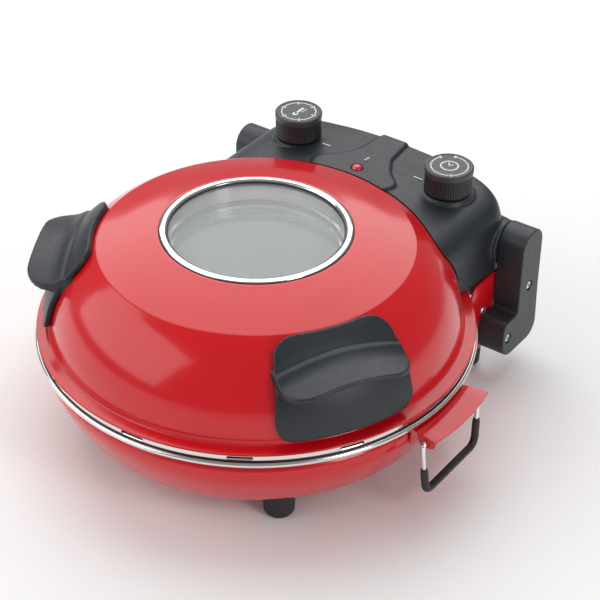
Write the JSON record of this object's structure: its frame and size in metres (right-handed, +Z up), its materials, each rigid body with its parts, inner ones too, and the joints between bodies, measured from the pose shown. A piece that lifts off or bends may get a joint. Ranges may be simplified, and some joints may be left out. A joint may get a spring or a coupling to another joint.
{
  "type": "countertop pizza oven",
  "caption": "Round clamshell stone pizza oven: domed lid with window, rear control housing and knobs on two dog-leg hinge arms, shallow bowl base with wire carrying bails.",
  "frame": {"origin": "on the table, under the middle of the oven's footprint; the bowl's axis is 13 mm in front of it", "axes": "+Z up, -Y the oven's front, +X its right-hand side"},
  "size_m": [0.401, 0.386, 0.1824],
  "materials": {
    "red_enamel": "glossy baked enamel",
    "rim_steel": "polished stainless sheet",
    "bright_trim": "bright plated",
    "zinc_steel": "zinc plated",
    "element_tube": "dark oxidised tube",
    "cordierite": "matt fired cordierite",
    "fibre_mat": "white fibre mat",
    "foot_rubber": "matt black rubber",
    "anthracite_plastic": "fine textured anthracite",
    "black_plastic": "fine textured, near black",
    "sleeve_vinyl": "smooth dipped vinyl",
    "seal_rubber": "black silicone",
    "tempered_glass": "clear tempered",
    "red_lens": "translucent red",
    "nylon": "natural nylon",
    "terminal_ceramic": "white steatite"
  },
  "bodies": {
    "base": {"base_shell": "red_enamel", "base_pan": "rim_steel", "base_insulation": "fibre_mat", "base_tie_screws": "zinc_steel", "lower_element": "element_tube", "lower_element_clips": "zinc_steel", "baking_stone": "cordierite", "front_feet": "foot_rubber", "rear_feet": "foot_rubber", "foot_screws": "zinc_steel", "right_hinge_bracket": "red_enamel", "left_hinge_bracket": "red_enamel", "right_arm_cover": "anthracite_plastic", "left_arm_cover": "anthracite_plastic", "right_arm_core": "zinc_steel", "left_arm_core": "zinc_steel", "right_hinge_pin": "zinc_steel", "left_hinge_pin": "zinc_steel", "right_bail_bracket": "red_enamel", "left_bail_bracket": "red_enamel", "bracket_rivets": "bright_trim", "arm_screws": "bright_trim"},
    "lid": {"lid_shell": "red_enamel", "lid_pan": "rim_steel", "heat_reflector": "rim_steel", "lid_gasket": "seal_rubber", "window_ring": "bright_trim", "window_gasket": "seal_rubber", "window_glass": "tempered_glass", "window_spacer": "rim_steel", "inner_glass": "tempered_glass", "inner_window_ring": "rim_steel", "upper_element": "element_tube", "upper_element_clips": "zinc_steel", "right_handle": "anthracite_plastic", "left_handle": "anthracite_plastic", "handle_screws": "zinc_steel", "housing_shell": "anthracite_plastic", "housing_base": "anthracite_plastic", "housing_screws": "zinc_steel", "centre_panel": "anthracite_plastic", "pilot_lamp_lens": "red_lens", "pilot_lamp_body": "black_plastic", "hinge_bushes": "nylon", "terminal_block": "terminal_ceramic", "cord_gland": "black_plastic", "timer_body": "black_plastic", "thermostat_body": "black_plastic"},
    "thermostat_dial": {"thermostat_shaft": "zinc_steel", "thermostat_knob": "black_plastic", "thermostat_knob_cap": "black_plastic"},
    "timer_dial": {"timer_shaft": "zinc_steel", "timer_knob": "black_plastic", "timer_knob_cap": "black_plastic"},
    "right_bail": {"right_bail_wire": "bright_trim", "right_bail_sleeve": "sleeve_vinyl"},
    "left_bail": {"left_bail_wire": "bright_trim", "left_bail_sleeve": "sleeve_vinyl"}
  },
  "joints": [
    {"name": "lid_hinge", "type": "hinge", "parent": "base", "child": "lid", "pos_m": [0, 0.171, 0.1147], "axis": [-1, 0, 0], "range_deg": [0, 100]},
    {"name": "thermostat_turn", "type": "hinge", "parent": "lid", "child": "thermostat_dial", "pos_m": [-0.0763, 0.151, 0.16], "axis": [0, 0, -1], "range_deg": [0, 270]},
    {"name": "timer_turn", "type": "hinge", "parent": "lid", "child": "timer_dial", "pos_m": [0.0763, 0.151, 0.16], "axis": [0, 0, -1], "range_deg": [0, 300]},
    {"name": "right_bail_swing", "type": "hinge", "parent": "base", "child": "right_bail", "pos_m": [0.187, -0.013, 0.0745], "axis": [0, -1, 0], "range_deg": [-20, 85]},
    {"name": "left_bail_swing", "type": "hinge", "parent": "base", "child": "left_bail", "pos_m": [-0.187, -0.013, 0.0745], "axis": [0, 1, 0], "range_deg": [-20, 85]}
  ]
}
